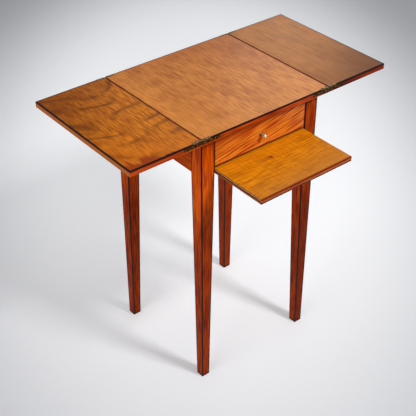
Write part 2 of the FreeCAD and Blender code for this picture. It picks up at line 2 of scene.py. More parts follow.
# A lamp table, dressed for its picture.
# The joiner's work arrives finished: boards, legs, drawer, slide and hinges stand in one frame, in metres,
# and nothing here moves them. What is left is the polisher's work, which is colour, grain, gloss and the
# marks of use, with some light and shade painted into the colour, and a few small pieces that a mesh does
# better than a solid.

# %% Load the frame
import bpy
import math
import numpy as np
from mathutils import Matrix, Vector


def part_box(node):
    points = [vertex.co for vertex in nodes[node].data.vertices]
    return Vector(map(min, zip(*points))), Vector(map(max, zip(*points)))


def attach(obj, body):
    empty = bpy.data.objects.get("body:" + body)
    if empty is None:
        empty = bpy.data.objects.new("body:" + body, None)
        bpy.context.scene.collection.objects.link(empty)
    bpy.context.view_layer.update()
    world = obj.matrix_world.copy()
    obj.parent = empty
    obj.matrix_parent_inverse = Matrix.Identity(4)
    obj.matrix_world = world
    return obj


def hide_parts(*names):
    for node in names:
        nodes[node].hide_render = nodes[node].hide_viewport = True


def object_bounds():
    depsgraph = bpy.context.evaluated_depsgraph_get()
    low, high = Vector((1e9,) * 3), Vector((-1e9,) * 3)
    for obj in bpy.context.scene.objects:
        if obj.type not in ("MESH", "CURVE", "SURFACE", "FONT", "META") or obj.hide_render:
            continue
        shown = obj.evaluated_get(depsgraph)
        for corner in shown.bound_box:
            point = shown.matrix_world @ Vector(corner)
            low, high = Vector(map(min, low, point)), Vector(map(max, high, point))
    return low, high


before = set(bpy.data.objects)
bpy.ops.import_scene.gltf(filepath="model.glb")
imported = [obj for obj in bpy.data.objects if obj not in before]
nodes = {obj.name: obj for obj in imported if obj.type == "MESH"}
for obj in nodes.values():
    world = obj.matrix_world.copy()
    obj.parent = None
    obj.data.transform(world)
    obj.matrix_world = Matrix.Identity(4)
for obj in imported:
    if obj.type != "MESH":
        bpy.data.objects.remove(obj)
cad_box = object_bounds()
MM = 0.001

# %% [markdown]
# Every finish is a network of shader nodes. It could be laid out by hand in the shader editor, but a script
# can be read and run again. These helpers keep it short: one adds a node to the network that its values
# come from, and the others are sums.

# %% Helpers for nodes and sums
SIGNS = {"+": "ADD", "-": "SUBTRACT", "*": "MULTIPLY", "/": "DIVIDE", "max": "MAXIMUM", "min": "MINIMUM",
         "sin": "SINE", "abs": "ABSOLUTE"}


def feed(node, values):
    """Feeds a node's sockets, by name or number, each from another socket or with a plain value."""
    for key, value in values.items():
        if isinstance(value, bpy.types.NodeSocket):
            node.id_data.links.new(value, node.inputs[key])
        else:
            node.inputs[key].default_value = value


def add(kind, values, **settings):
    """Adds a node to the network that its values come from; settings are the node's own choices."""
    tree = next(value.id_data for value in values.values() if isinstance(value, bpy.types.NodeSocket))
    node = tree.nodes.new("ShaderNode" + kind)
    for name, setting in settings.items():
        setattr(node, name, setting)
    feed(node, values)
    return node


def calc(sign, *values):
    """One sum on numbers."""
    return add("Math", dict(enumerate(values)), operation=SIGNS[sign]).outputs[0]


def vector(sign, *values):
    """One sum on vectors."""
    return add("VectorMath", dict(enumerate(values)), operation=SIGNS[sign]).outputs[0]


def axis(place, number):
    """One coordinate of a place; 0, 1 and 2 are x, y and z."""
    return add("SeparateXYZ", {0: place}).outputs[number]


print("sums:", list(SIGNS))

# %% [markdown]
# A mask is a number from 0 to 1 that says where a tint, a stain or a gloss lies. It could be painted on,
# but then every piece needs a picture. Worked out from the place of a point it fits any size: most masks
# are a soft step along a direction, or noise cut between two levels. Colours are written as they look on a
# screen and turned into light values once.

# %% Helpers for masks and colours
# Ways that a slope can take.
LEFT = (-1.0, 0.0, 0.0)
RIGHT = (1.0, 0.0, 0.0)
FRONT = (0.0, -1.0, 0.0)
BACK = (0.0, 1.0, 0.0)
DOWN = (0.0, 0.0, -1.0)
UP = (0.0, 0.0, 1.0)


def soft_step(value, low, high):
    """0 below low, 1 above high, and a smooth rise between them; low above high gives a fall."""
    values = {"Value": value, "From Min": low, "From Max": high}
    return add("MapRange", values, interpolation_type="SMOOTHSTEP").outputs[0]


def slope(place, way, low, high, edge=0.0):
    """Soft step of the distance past an edge, which is the place dotted with a way, less the edge."""
    along = add("VectorMath", {0: place, 1: way}, operation="DOT_PRODUCT").outputs["Value"]
    return soft_step(calc("-", along, edge), low, high)


def oval(place, centre, turn, shape):
    """Distance from a centre, along axes turned about the upright one and stretched by a shape."""
    offset = vector("-", place, centre)
    askew = add("Mapping", {"Vector": offset, "Rotation": (0.0, 0.0, turn)}).outputs[0]
    return add("VectorMath", {0: vector("*", askew, shape)}, operation="LENGTH").outputs["Value"]


def noise(place, pace, octaves=2.0, falloff=0.5):
    """Soft noise around 0.5, with pace waves to the metre."""
    values = {"Vector": place, "Scale": pace, "Detail": octaves, "Roughness": falloff}
    return add("TexNoise", values).outputs["Fac"]


def clouds(place, pace, octaves, low, high, falloff=0.5):
    """Mask of soft clouds: noise cut between two of its levels."""
    return soft_step(noise(place, pace, octaves, falloff), low, high)


def around_zero(value, *gains):
    """A value around 0.5, moved to lie around 0 and multiplied by its gains."""
    value = calc("-", value, 0.5)
    for gain in gains:
        value = calc("*", value, gain)
    return value


def covering(value, share, below, above):
    """Mask that covers about a share of the area of a noise: a soft step around 1 less the share."""
    level = calc("-", 1.0, share)
    return soft_step(value, calc("-", level, below), calc("+", level, above))


def mix(share, first, second, blend="MIX"):
    """Second colour over the first, by a share from 0 to 1."""
    return add("Mix", {0: share, 6: first, 7: second}, data_type="RGBA", blend_type=blend).outputs[2]


def shade(colour, mask, share, tint):
    """Lays a tint over a colour where a mask says so, at most by a share."""
    return mix(calc("*", mask, share), colour, tint)


def paint(red, green, blue):
    """Screen colour in parts of 255, as the linear light values that shaders use."""
    share = np.array([red, green, blue]) / 255
    linear = np.where(share <= 0.04045, share / 12.92, ((share + 0.055) / 1.055) ** 2.4)
    return (*linear.tolist(), 1.0)


print("a mid tan is", [round(x, 3) for x in paint(190, 120, 70)[:3]])

# %% [markdown]
# A node group is a network with a name and its own sockets. The same nodes could be copied into each
# material, but then a change has to be made in all of them. A group is made once and placed with other
# values. Each one here reads a place through its socket Vector.

# %% Helpers for groups and materials
def new_group(name, build, inputs, outputs):
    """Node group that a function builds: given the incoming sockets, it returns a value for each output."""
    tree = bpy.data.node_groups.new(name, "ShaderNodeTree")
    for label, value in {"Vector": (0.0, 0.0, 0.0), **inputs}.items():
        kind = "Float" if isinstance(value, float) else "Color" if len(value) == 4 else "Vector"
        socket = tree.interface.new_socket(label, in_out="INPUT", socket_type="NodeSocket" + kind)
        socket.default_value = value
    for label, kind in outputs.items():
        tree.interface.new_socket(label, in_out="OUTPUT", socket_type="NodeSocket" + kind)
    feed(tree.nodes.new("NodeGroupOutput"), build(tree.nodes.new("NodeGroupInput").outputs))
    print(name, "has", len(tree.nodes), "nodes")
    return tree


def place_group(group, place, **values):
    """Group in the network that its place comes from, with the values that differ from its own."""
    node = place.id_data.nodes.new("ShaderNodeGroup")
    node.node_tree = group
    feed(node, {"Vector": place, **values})
    return node.outputs


def new_finish(name, dress, *choices, **more):
    """Material that a function dresses, given its main shader and the piece's own coordinates."""
    material = bpy.data.materials.new(name)
    material.use_nodes = True
    made = material.node_tree.nodes
    place = made.new("ShaderNodeTexCoord").outputs["Object"]
    dress(made["Principled BSDF"], place, *choices, **more)
    print(name, "has", len(made), "nodes")
    return material


print("groups and materials ready")

# %% [markdown]
# Grain makes a surface wood: slow patches where the trunk was darker, growth lines that waver and fade,
# streaks and fibres, a mottle where the fibres interlock, and pores like pencil dashes. A picture of a
# board would serve one piece. Here it is all noise and a sine, drawn out along the grain, so one group
# serves every wood of the table with other colours and amounts. Z runs along the grain.

# %% Wood grain as a node group
USUAL_WOOD = {"Light": paint(210, 140, 80), "Dark": paint(140, 70, 30), "Pore": paint(70, 30, 15),
              "Length": 0.2, "Spacing": 0.004, "Waver": 0.02, "Patches": 0.8, "Lines": 0.03,
              "Streaks": 0.6, "Fibre": 1.0, "Mottle": 0.4, "Pores": 0.3}
# Layers of tone: waves to the metre, share of them along the grain, octaves, their fall-off and contrast.
SLOW_LAYERS = {"Patches": (13.0, 0.6, 2.0, 0.5, 2.2), "Mottle": (48.0, 0.55, 2.0, 0.5, 2.2)}
LONG_LAYERS = {"Streaks": (190.0, 0.12, 2.0, 0.55, 2.0), "Fibre": (400.0, 0.3, 1.0, 0.5, 2.0)}
LINE_CREST = (-0.2, 1.0)
LINE_MEAN = 0.4
PORE_DRAW = (1.0, 1.0, 0.3)
STREAK_RELIEF = 0.3
RUBBED_ROUGHNESS = 0.16
PORE_ROUGHNESS = 0.25


def build_grain(given):
    """Tone is 0.5 plus each amount times its layer, and Lines times the lines. A layer is noise around 0,
    drawn out along the grain; Length is the share of the long layers' waves that is left there. Lines are
    a sine across the board, shifted by slow noise times Waver, thinned to its crests and broken by clouds.
    Colour goes from Light to Dark by tone, and pores darken it."""
    place = given["Vector"]
    draw = add("CombineXYZ", {0: 1.0, 1: 1.0, 2: given["Length"]}).outputs[0]
    long = vector("*", place, draw)
    tone = 0.5
    layer = {}
    for base, layers in ((place, SLOW_LAYERS), (long, LONG_LAYERS)):
        for name, (pace, along, octaves, falloff, contrast) in layers.items():
            layer[name] = noise(vector("*", base, (1.0, 1.0, along)), pace, octaves, falloff)
            tone = calc("+", tone, around_zero(layer[name], contrast, given[name]))
    drift = around_zero(noise(long, pace=11.0, octaves=3.0), given["Waver"])
    across = calc("+", axis(place, 0), axis(place, 1))
    turns = calc("/", calc("+", across, drift), given["Spacing"])
    wave = calc("sin", calc("*", turns, 2 * math.pi))
    crests = calc("-", soft_step(wave, *LINE_CREST), LINE_MEAN)
    lines = calc("*", crests, clouds(long, pace=38.0, octaves=2.0, low=0.3, high=0.65))
    tone = calc("+", tone, calc("*", lines, given["Lines"]))
    colour = mix(add("Clamp", {"Value": tone}).outputs[0], given["Light"], given["Dark"])
    dashes = clouds(vector("*", long, PORE_DRAW), pace=1300.0, octaves=1.0, low=0.62, high=0.74)
    pores = calc("*", dashes, given["Pores"])
    rubbed = calc("*", noise(place, pace=24.0, octaves=3.0), RUBBED_ROUGHNESS)
    return {"Color": mix(pores, colour, given["Pore"]),
            "Height": calc("-", calc("*", layer["Streaks"], STREAK_RELIEF), dashes),
            "Roughness": calc("+", rubbed, calc("*", pores, PORE_ROUGHNESS))}


wood_grain = new_group("wood_grain", build_grain, USUAL_WOOD,
                       {"Color": "Color", "Height": "Float", "Roughness": "Float"})

# %% [markdown]
# Some boards carry figure: soft bars of shade across the grain, where the fibres rise and dip. A wave
# texture could do it, but its bars run through. A sine along the grain, bent in an arc, can be broken up by
# noise, so that none does.

# %% Cross-grain figure as a node group
USUAL_FIGURE = {"Spacing": 0.035, "Sweep": 2.0, "Waver": 0.06, "Edge": 0.0, "Cover": 0.5}
FIGURE_BREAKS = (0.6, 1.0, 1.0)


def build_figure(given):
    """Mask of bars: a sine of the distance along the grain plus Sweep times the square of the distance
    across, shifted by noise times Waver, cut to thin bars above Edge, and kept where a slow noise is high,
    on about the share Cover of the board."""
    place = given["Vector"]
    across = axis(place, 0)
    bend = calc("*", calc("*", across, across), given["Sweep"])
    shift = around_zero(noise(place, pace=8.0, octaves=1.0), given["Waver"])
    along = calc("+", calc("+", axis(place, 2), bend), shift)
    turns = calc("*", calc("/", along, given["Spacing"]), 2 * math.pi)
    bars = soft_step(calc("sin", turns), given["Edge"], 1.0)
    where = noise(vector("*", place, FIGURE_BREAKS), pace=20.0)
    kept = covering(where, given["Cover"], below=0.12, above=0.14)
    return {"Mask": calc("*", bars, kept)}


cross_figure = new_group("cross_figure", build_figure, USUAL_FIGURE, {"Mask": "Float"})

# %% [markdown]
# Waxing leaves a dark line along joints, where the cloth can't reach, and grooves and gaps hold shade,
# which is painted in the same way. A bevel node could find edges, but would darken all of them alike. This
# group measures how far a point lies inside a box and darkens the last few millimetres, a little unevenly.
# An axis that doesn't matter gets limits far away.

# %% Darkened edges, of wax and painted shade, as a node group
FAR = 9.0
USUAL_DARKENING = {"Low": (-FAR, -FAR, -FAR), "High": (FAR, FAR, FAR), "Width": 0.006}


def build_edge_darkening(given):
    """Mask that is 1 at the sides of the box from Low to High and falls to 0 at Width inside them; the
    distance is the least over the six sides, and Width is made uneven by noise."""
    place = given["Vector"]
    inside = vector("min", vector("-", place, given["Low"]), vector("-", given["High"], place))
    least = calc("min", calc("min", axis(inside, 0), axis(inside, 1)), axis(inside, 2))
    uneven = calc("+", 0.5, noise(place, pace=60.0, octaves=3.0))
    return {"Mask": soft_step(least, calc("*", given["Width"], uneven), 0.0)}


edge_darkening = new_group("edge_darkening", build_edge_darkening, USUAL_DARKENING, {"Mask": "Float"})

# %% [markdown]
# Every wooden piece is finished by the same few moves, as at the bench: turn the grain along the board,
# stain it lighter or darker in places, some of it painted light and shade, then polish. They could be
# repeated in each finish, but as functions they let a finish read as a list.

# %% Helpers for wood
GRAIN_TURN = {"X": (0.0, -math.pi / 2, 0.0), "Y": (math.pi / 2, 0.0, 0.0), "Z": (0.0, 0.0, 0.0)}
GRAIN_DEPTH = 0.2 * MM


def wood(light, dark, pore, **amounts):
    """Values for the grain group: three screen colours, and what differs from the usual wood."""
    return {"Light": paint(*light), "Dark": paint(*dark), "Pore": paint(*pore), **amounts}


def turned(place, along, tilt=0.0, shift=(0.0, 0.0, 0.0)):
    """Coordinates turned so that the grain runs along their Z, with an optional tilt and shift."""
    turn = np.array(GRAIN_TURN[along]) + np.array((0.0, tilt, 0.0))
    return add("Mapping", {"Vector": place, "Rotation": turn.tolist(), "Location": shift}).outputs[0]


def lay_tones(place, colour, tones):
    """Lays tints over a colour, each rising along its way between two distances, at most by its share."""
    for way, low, high, share, tint in tones:
        colour = shade(colour, slope(place, way, low, high), share, tint)
    return colour


def lay_bars(grain, colour, share, tint, **figure):
    """Lays the bars of a cross-grain figure over a colour, at most by a share."""
    return shade(colour, place_group(cross_figure, grain, **figure)["Mask"], share, tint)


def polish(shader, face, colour, rough, gloss, relief=0.15):
    """Feeds a wood's shader: its colour, the grain's roughness plus rough, its gloss, and any relief."""
    roughness = calc("+", face["Roughness"], rough)
    feed(shader, {"Base Color": colour, "Roughness": roughness, "Specular IOR Level": gloss})
    if relief:
        values = {"Strength": relief, "Distance": GRAIN_DEPTH, "Height": face["Height"]}
        feed(shader, {"Normal": add("Bump", values).outputs[0]})


print("grain can run along", list(GRAIN_TURN))

# %% [markdown]
# The top is three boards of different colour, with the grain from front to back. Only the broad faces are
# polished. They could have materials of their own, but a mask can tell a face by its place, so the gloss is
# a coat that a mask switches on. The leaves' undersides are show wood too: folded over, they are the top.
# The edges are redder, darker on the right leaf and paler at the ends, and the joints hold dark wax with
# painted shade of their grooves.

# %% What the three top boards share
EDGE_WOOD = wood((202, 78, 12), (142, 38, 4), (80, 20, 6), Lines=0.15, Streaks=1.0)
UNDER_WOOD = wood((200, 110, 40), (146, 70, 18), (90, 38, 10), Spacing=0.011, Waver=0.05, Patches=0.6,
                  Lines=0.06, Streaks=0.8, Fibre=1.8, Mottle=0.5)
END_TAN = paint(186, 108, 46)
# Near-black red for the darker right leaf edge, the painted shadow under the top and the darker feet.
DARK_TINT = paint(52, 10, 14)
# Dark wax in the joints with painted shade of their grooves, and painted shade of the gaps round the
# drawer.
JOINT_WAX_AND_SHADE = paint(94, 22, 28)
JOINT_DARK_WIDTH = 4.4 * MM
TOP_Z = cad_box[1].z
END_X = cad_box[1].x
strip_low, strip_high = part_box("top_stringing_front")
STRIP_WIDTH = strip_high.y - strip_low.y
STRIP_HEIGHT = strip_high.z - strip_low.z
SKIN = (0.3 * MM, 0.1 * MM)
RIGHT_EDGE_DARK_FROM = (0.41 * END_X, 0.45 * END_X)
RIGHT_EDGE_FADE_FROM = (0.6 * END_X, 0.95 * END_X)
RIGHT_EDGE_FADE_SHARE = 0.35
TOP_COAT_ROUGHNESS = 0.24


def edge_colour(place):
    """Red wood, darker on the right leaf but less so towards its end, and tan on the ends."""
    colour = place_group(wood_grain, turned(place, "X"), **EDGE_WOOD)["Color"]
    fading = calc("*", slope(place, RIGHT, *RIGHT_EDGE_FADE_FROM), RIGHT_EDGE_FADE_SHARE)
    colour = shade(colour, calc("-", slope(place, RIGHT, *RIGHT_EDGE_DARK_FROM), fading), 0.8, DARK_TINT)
    end = soft_step(calc("abs", axis(place, 0)), END_X - SKIN[0], END_X - SKIN[1])
    return shade(colour, end, 0.8, END_TAN)


def finish_top(shader, place, node, face, colour, gloss):
    """Adds edges, joints, underside and gloss to the colour of an upper face and feeds the shader."""
    low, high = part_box(node)
    upper = slope(place, UP, -STRIP_HEIGHT, -0.9 * STRIP_HEIGHT, TOP_Z)
    # Dark wax and painted shade of the grooves along the joints.
    dark_edges = place_group(edge_darkening, place, Low=(low.x, -FAR, -FAR), High=(high.x, FAR, FAR),
                       Width=JOINT_DARK_WIDTH)["Mask"]
    colour = mix(upper, edge_colour(place), mix(dark_edges, colour, JOINT_WAX_AND_SHADE))
    under = slope(place, UP, *SKIN, low.z)
    plain = place_group(wood_grain, turned(place, "Y"), **UNDER_WOOD)["Color"]
    polish(shader, face, mix(under, colour, plain), rough=0.3, gloss=0.08)
    polished = calc("max", calc("*", upper, calc("-", 1.0, dark_edges)), under)
    feed(shader, {"Coat Weight": calc("*", polished, gloss), "Coat Roughness": TOP_COAT_ROUGHNESS})


print("strips on the top are", round(STRIP_HEIGHT / MM, 2), "mm high")

# %% [markdown]
# The centre board is the brightest, an orange tan with a soft mottle, redder towards the back right and
# paler along the left joint, where a sheen is painted in. Lamps could shade it so, but then the shades
# would change with the light. So the red is in the wood and the sheen in the colour, each a soft step of
# tone along a direction in the plane of the board.

# %% Finish of the centre board
CENTRE_WOOD = wood((208, 131, 56), (160, 88, 30), (110, 50, 18), Length=0.24, Spacing=0.012, Waver=0.06,
                   Patches=0.9, Streaks=0.5, Fibre=1.4, Mottle=0.45)
CENTRE_BARS = {"Spacing": 0.021, "Sweep": 0.5, "Waver": 0.1, "Edge": 0.1, "Cover": 0.42}
# Tones, here and below: the way they rise, where they start and end, their share and their tint.
# The second tone, paler to the front left, is a painted sheen.
CENTRE_TONE_AND_SHEEN = (((0.5, 0.85, 0.0), 0.0, 0.22, 0.5, paint(162, 88, 38)),
                ((-1.0, -0.35, 0.0), 0.06, 0.2, 0.4, paint(214, 134, 50)))


def centre_finish(shader, place):
    """Orange tan, mottled, redder to the back right and with a painted sheen to the front left, with faint
    bars across the grain.
    """
    grain = turned(place, "Y")
    face = place_group(wood_grain, grain, **CENTRE_WOOD)
    colour = lay_tones(place, face["Color"], CENTRE_TONE_AND_SHEEN)
    colour = lay_bars(grain, colour, 0.12, paint(146, 78, 30), **CENTRE_BARS)
    finish_top(shader, place, "top_board", face, colour, 0.55)


centre_polish = new_finish("centre_board_polish", centre_finish)

# %% [markdown]
# The left leaf is golden brown with dark flames that sag in the middle. It darkens to the far left corner,
# and a ragged red stain creeps in from the front edge. The flames could be one set of bars, but real ones
# have a soft body and a sharp heart, so the bars are laid twice, wide and faint, then narrow and dark.

# %% Finish of the left leaf
LEFT_WOOD = wood((208, 122, 24), (148, 74, 8), (90, 40, 8), Length=0.25, Spacing=0.012, Waver=0.06,
                 Fibre=2.2)
LEFT_TONES = (((-0.75, 0.66, 0.0), 0.16, 0.42, 0.75, paint(104, 42, 4)),
              ((-0.5, -0.87, 0.0), 0.18, 0.34, 0.5, paint(190, 92, 8)))
FLAMES = {"Spacing": 0.056, "Sweep": -4.0, "Waver": 0.13, "Cover": 0.54}
FLAME_EDGES = ((-0.3, 0.4), (0.7, 0.55))
RIPPLE = {"Spacing": 0.017, "Sweep": -3.0, "Waver": 0.07, "Edge": 0.2, "Cover": 0.46}
STAIN_WIDTH = 12 * MM
STAIN_GROWTH = 50 * MM
STAIN_GROWS = (0.24, 0.35)
STAIN_BLUR = 0.7
STAIN_DRAW = (1.0, 0.2, 1.0)
LEAF_GLOSS = 0.32
LEFT_DULL = (0.22, 0.33)
LEFT_DULL_SHARE = 0.28


def front_stain(place, front):
    """Ragged mask along the front edge. It reaches back by STAIN_WIDTH, and by STAIN_GROWTH more at the
    outer end, times noise drawn out from front to back."""
    drawn = vector("*", place, STAIN_DRAW)
    ragged = clouds(drawn, pace=80.0, octaves=4.0, low=0.3, high=0.7, falloff=0.6)
    growth = calc("*", slope(place, LEFT, *STAIN_GROWS), STAIN_GROWTH)
    width = calc("*", ragged, calc("+", growth, STAIN_WIDTH))
    return slope(place, FRONT, calc("*", width, -1.0), calc("*", width, STAIN_BLUR - 1.0), front)


def left_leaf_finish(shader, place):
    """Golden brown with dark flames and ripples, darker to the far left, stained red along the front."""
    low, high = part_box("leaf_left")
    grain = turned(place, "Y", shift=(-(low.x + high.x) / 2, 0.0, 0.0))
    face = place_group(wood_grain, grain, **LEFT_WOOD)
    colour = face["Color"]
    for edge, share in FLAME_EDGES:
        colour = lay_bars(grain, colour, share, paint(98, 46, 6), Edge=edge, **FLAMES)
    colour = lay_bars(grain, colour, 0.35, paint(130, 66, 12), **RIPPLE)
    colour = lay_tones(place, colour, LEFT_TONES)
    colour = shade(colour, front_stain(place, -low.y), 0.75, paint(122, 30, 8))
    dull = calc("*", slope(place, LEFT, *LEFT_DULL), LEFT_DULL_SHARE)
    finish_top(shader, place, "leaf_left", face, colour, calc("-", LEAF_GLOSS, dull))


left_polish = new_finish("left_leaf_polish", left_leaf_finish)

# %% [markdown]
# The right leaf is greyer and plain, and darkens to the near right corner in a painted dark reflection,
# where its gloss is worn too. Two masks could do that, but one slope keeps the painted darkening and the
# gloss together. Soft grey clouds keep the board from looking like flat paint.

# %% Finish of the right leaf
RIGHT_WOOD = wood((188, 121, 57), (150, 91, 40), (100, 58, 26), Spacing=0.010, Waver=0.04, Fibre=0.8,
                  Mottle=0.25)
RIGHT_SHIFT = (-0.3, 0.0, 0.0)
# Slope to the near right corner, for a painted dark reflection and a duller gloss.
NEAR_CORNER = ((0.62, -0.78, 0.0), 0.14, 0.38)
RIGHT_DULL_SHARE = 0.2


def right_leaf_finish(shader, place):
    """Greyish brown, plain, with a painted dark reflection and a duller gloss to the near right corner."""
    face = place_group(wood_grain, turned(place, "Y", shift=RIGHT_SHIFT), **RIGHT_WOOD)
    near = slope(place, *NEAR_CORNER)
    # Painted dark reflection towards the near right corner.
    colour = shade(face["Color"], near, 0.9, paint(92, 48, 20))
    grey = clouds(place, pace=13.0, octaves=3.0, low=0.52, high=0.7)
    colour = shade(colour, grey, 0.25, paint(128, 88, 58))
    gloss = calc("-", LEAF_GLOSS, calc("*", near, RIGHT_DULL_SHARE))
    finish_top(shader, place, "leaf_right", face, colour, gloss)


right_polish = new_finish("right_leaf_polish", right_leaf_finish)

# %% [markdown]
# On the drawer front the grain climbs to the right in strong red lines that swirl, and painted shade of the
# gaps round it darkens its sides and its foot. It could have a network of its own, but the lines of the
# grain group do it, tilted a few degrees and given a large waver.

# %% Finish of the drawer front
DRAWER_WOOD = wood((253, 154, 42), (174, 48, 8), (120, 34, 8), Length=0.12, Spacing=0.0046, Waver=0.08,
                   Patches=0.5, Lines=0.42, Streaks=0.3, Fibre=1.6, Mottle=0.3, Pores=0.4)
GRAIN_CLIMB = 0.2
UPPER_LEFT = (-0.2, 0.0, 1.0)
RED_PAST_TOP = 12 * MM
# Widths of the painted shade of the gaps at the drawer's sides and foot.
DRAWER_GAP_SHADE_WIDTH = 4 * MM
DRAWER_FOOT_SHADE = (-5.5 * MM, -3.5 * MM)


def drawer_finish(shader, place):
    """Tilted grain in strong lines, redder to the upper left, with painted shade of the gaps at the sides
    and the foot.
    """
    low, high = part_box("drawer_front")
    face = place_group(wood_grain, turned(place, "X", GRAIN_CLIMB), **DRAWER_WOOD)
    red = slope(place, UPPER_LEFT, (low.z + high.z) / 2, high.z + RED_PAST_TOP)
    colour = shade(face["Color"], red, 0.6, paint(184, 66, 10))
    # Painted shade of the gaps at the sides and the foot.
    dark_edges = place_group(edge_darkening, place, Low=(low.x, -FAR, low.z), High=(high.x, FAR, FAR),
                       Width=DRAWER_GAP_SHADE_WIDTH)["Mask"]
    foot = slope(place, DOWN, *DRAWER_FOOT_SHADE, -low.z)
    colour = shade(colour, calc("max", dark_edges, foot), 0.9, JOINT_WAX_AND_SHADE)
    polish(shader, face, colour, rough=0.26, gloss=0.2)


drawer_polish = new_finish("drawer_front_polish", drawer_finish)

# %% [markdown]
# The slide is a golden board with faint bars across it and two small knots. Its front edge is where hands
# take it, so the gold is dull and smeared there, and near the drawer it is painted lighter against the
# drawer's shade. Down its sides lie a dark lip, a pale line above the groove, the dark groove and a brown
# lower lip; the dark lip and the dark groove are painted shade. The bands could be separate pieces, but
# they are only colour, so each is a soft step in depth.

# %% Finish of the slide
SLIDE_WOOD = wood((226, 138, 4), (178, 97, 3), (136, 60, 6), Spacing=0.013, Waver=0.05, Patches=0.3,
                  Lines=0.04, Streaks=0.5, Fibre=2.4, Mottle=0.1)
SLIDE_BARS = {"Spacing": 0.016, "Sweep": 0.4, "Waver": 0.05, "Edge": -0.4, "Cover": 0.6}
# Painted light near the drawer, against the shade that the drawer throws on the slide.
SLIDE_LIGHT_NEAR_DRAWER = ((BACK, -0.21, -0.16, 0.5, paint(228, 138, 6)),)
DULL_WAY = (0.22, -1.0, 0.0)
DULL_REACH = (-100 * MM, 10 * MM)
# Knots: x and y, half length, and how dark.
KNOTS = ((-7.4 * MM, -205.6 * MM, 9.0 * MM, 1.0), (109.5 * MM, -177.7 * MM, 8.0 * MM, 0.55))
KNOT_TURN = math.radians(35)
KNOT_SHAPE = (1.0, 2.0, 0.0)
KNOT_HEART = 0.35
# Bands down the sides: depth of their upper edge, and colour. The first and third, dark, are painted shade.
SIDE_BANDS = ((0.0 * MM, paint(92, 32, 10)), (2.3 * MM, paint(236, 190, 142)),
              (3.6 * MM, paint(66, 24, 10)), (8.0 * MM, paint(160, 88, 40)))
BAND_BLUR = 0.3 * MM
GROOVE_DEPTH = (5.6 * MM, 5.2 * MM)


def slide_finish(shader, place):
    """Golden grain along X, duller towards the front right, painted lighter near the drawer, with askew
    knots half as wide as long, and sides in bands by their depth, the dark ones painted shade."""
    low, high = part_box("slide_board")
    grain = turned(place, "X")
    face = place_group(wood_grain, grain, **SLIDE_WOOD)
    colour = lay_bars(grain, face["Color"], 0.2, paint(150, 78, 10), **SLIDE_BARS)
    colour = lay_tones(place, colour, SLIDE_LIGHT_NEAR_DRAWER)
    dull = slope(place, DULL_WAY, *DULL_REACH, -low.y)
    colour = shade(colour, dull, 0.7, paint(178, 109, 32))
    smears = clouds(place, pace=42.0, octaves=4.0, low=0.5, high=0.75, falloff=0.6)
    colour = shade(colour, calc("*", smears, dull), 0.5, paint(124, 68, 24))
    for x, y, size, share in KNOTS:
        knot = soft_step(oval(place, (x, y, 0.0), KNOT_TURN, KNOT_SHAPE), size, size * KNOT_HEART)
        colour = shade(colour, knot, share, paint(118, 34, 34))
    side = soft_step(calc("abs", axis(place, 0)), high.x - GROOVE_DEPTH[0], high.x - GROOVE_DEPTH[1])
    # Bands down the sides; the dark lip and the dark groove are painted shade.
    for depth, band in SIDE_BANDS:
        below = slope(place, UP, -depth, -depth - BAND_BLUR, high.z)
        colour = shade(colour, side, below, band)
    polish(shader, face, colour, rough=0.28, gloss=0.25, relief=0.12)


slide_polish = new_finish("slide_polish", slide_finish)

# %% [markdown]
# The slide's front edge is a lipping of red wood under a golden top, darkened along its upper corner and
# its foot. The corner could be found by height, but then the top would darken too. A slope along the
# diagonal of front and up finds it alone.

# %% Finish of the lipping
LIPPING_WOOD = wood((206, 104, 34), (156, 60, 12), (90, 28, 8), Lines=0.12, Streaks=0.9)
FRONT_AND_UP = (0.0, -1.0, 1.0)
LIPPING_TOP = (-1.2 * MM, -0.8 * MM)
LIPPING_CORNER = (-3.2 * MM, -2.6 * MM)
LIPPING_FOOT = (4.8 * MM, 3.6 * MM)


def lipping_finish(shader, place):
    """Red wood under a golden top, dark along its front corner and its foot."""
    low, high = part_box("slide_lipping")
    face = place_group(wood_grain, turned(place, "X"), **LIPPING_WOOD)
    colour = mix(slope(place, UP, *LIPPING_TOP, high.z), face["Color"], paint(172, 96, 26))
    corner = slope(place, FRONT_AND_UP, *LIPPING_CORNER, high.z - low.y)
    colour = shade(colour, corner, 0.9, paint(104, 22, 8))
    colour = shade(colour, slope(place, UP, *LIPPING_FOOT, low.z), 0.9, paint(48, 14, 10))
    polish(shader, face, colour, rough=0.3, gloss=0.12, relief=0.0)


lipping_polish = new_finish("lipping_polish", lipping_finish)

# %% [markdown]
# Legs and rails are red wood, polished less than the top. The grain runs along each stick. Every piece
# could have its own material, but three, one for each direction, do for all. The rails are darker and the
# legs darken towards the floor, both painted shade, the front of the right leg is a darker stave, the feet
# are darker at the bottom, and a painted shadow lies under the top.

# %% Finish of the legs and rails
RED_WOOD = wood((240, 101, 9), (164, 50, 3), (90, 24, 4), Length=0.16, Spacing=0.007, Waver=0.03,
                Patches=0.4, Lines=0.05, Streaks=0.5, Fibre=1.5, Pores=0.35)
# Painted shade: the rails, under the top, are darker copies of the legs' red wood.
AXIS_SHADE = {"X": (0.74, 0.7, 0.7, 1.0), "Y": (0.66, 0.66, 0.66, 1.0), "Z": (1.0, 1.0, 1.0, 1.0)}
# Painted shade towards the floor: how dark the lower legs become.
LEG_FLOOR_SHADE = (0.48, 0.37, 0.15, 1.0)
DARK_STAVE = (0.62, 0.56, 0.5, 1.0)
LEG_FRONT = -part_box("leg_front_right")[0].y
STAVE_SKIN = (-0.8 * MM, -0.2 * MM)
STAVE_SIDE = (0.0, 0.1)
APRON_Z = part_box("end_rail_left")[0].z
# Heights between which the painted floor shade sets in.
DARK_FROM = (0.95 * APRON_Z, 0.55 * APRON_Z)
UNDER_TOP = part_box("end_rail_left")[1].z
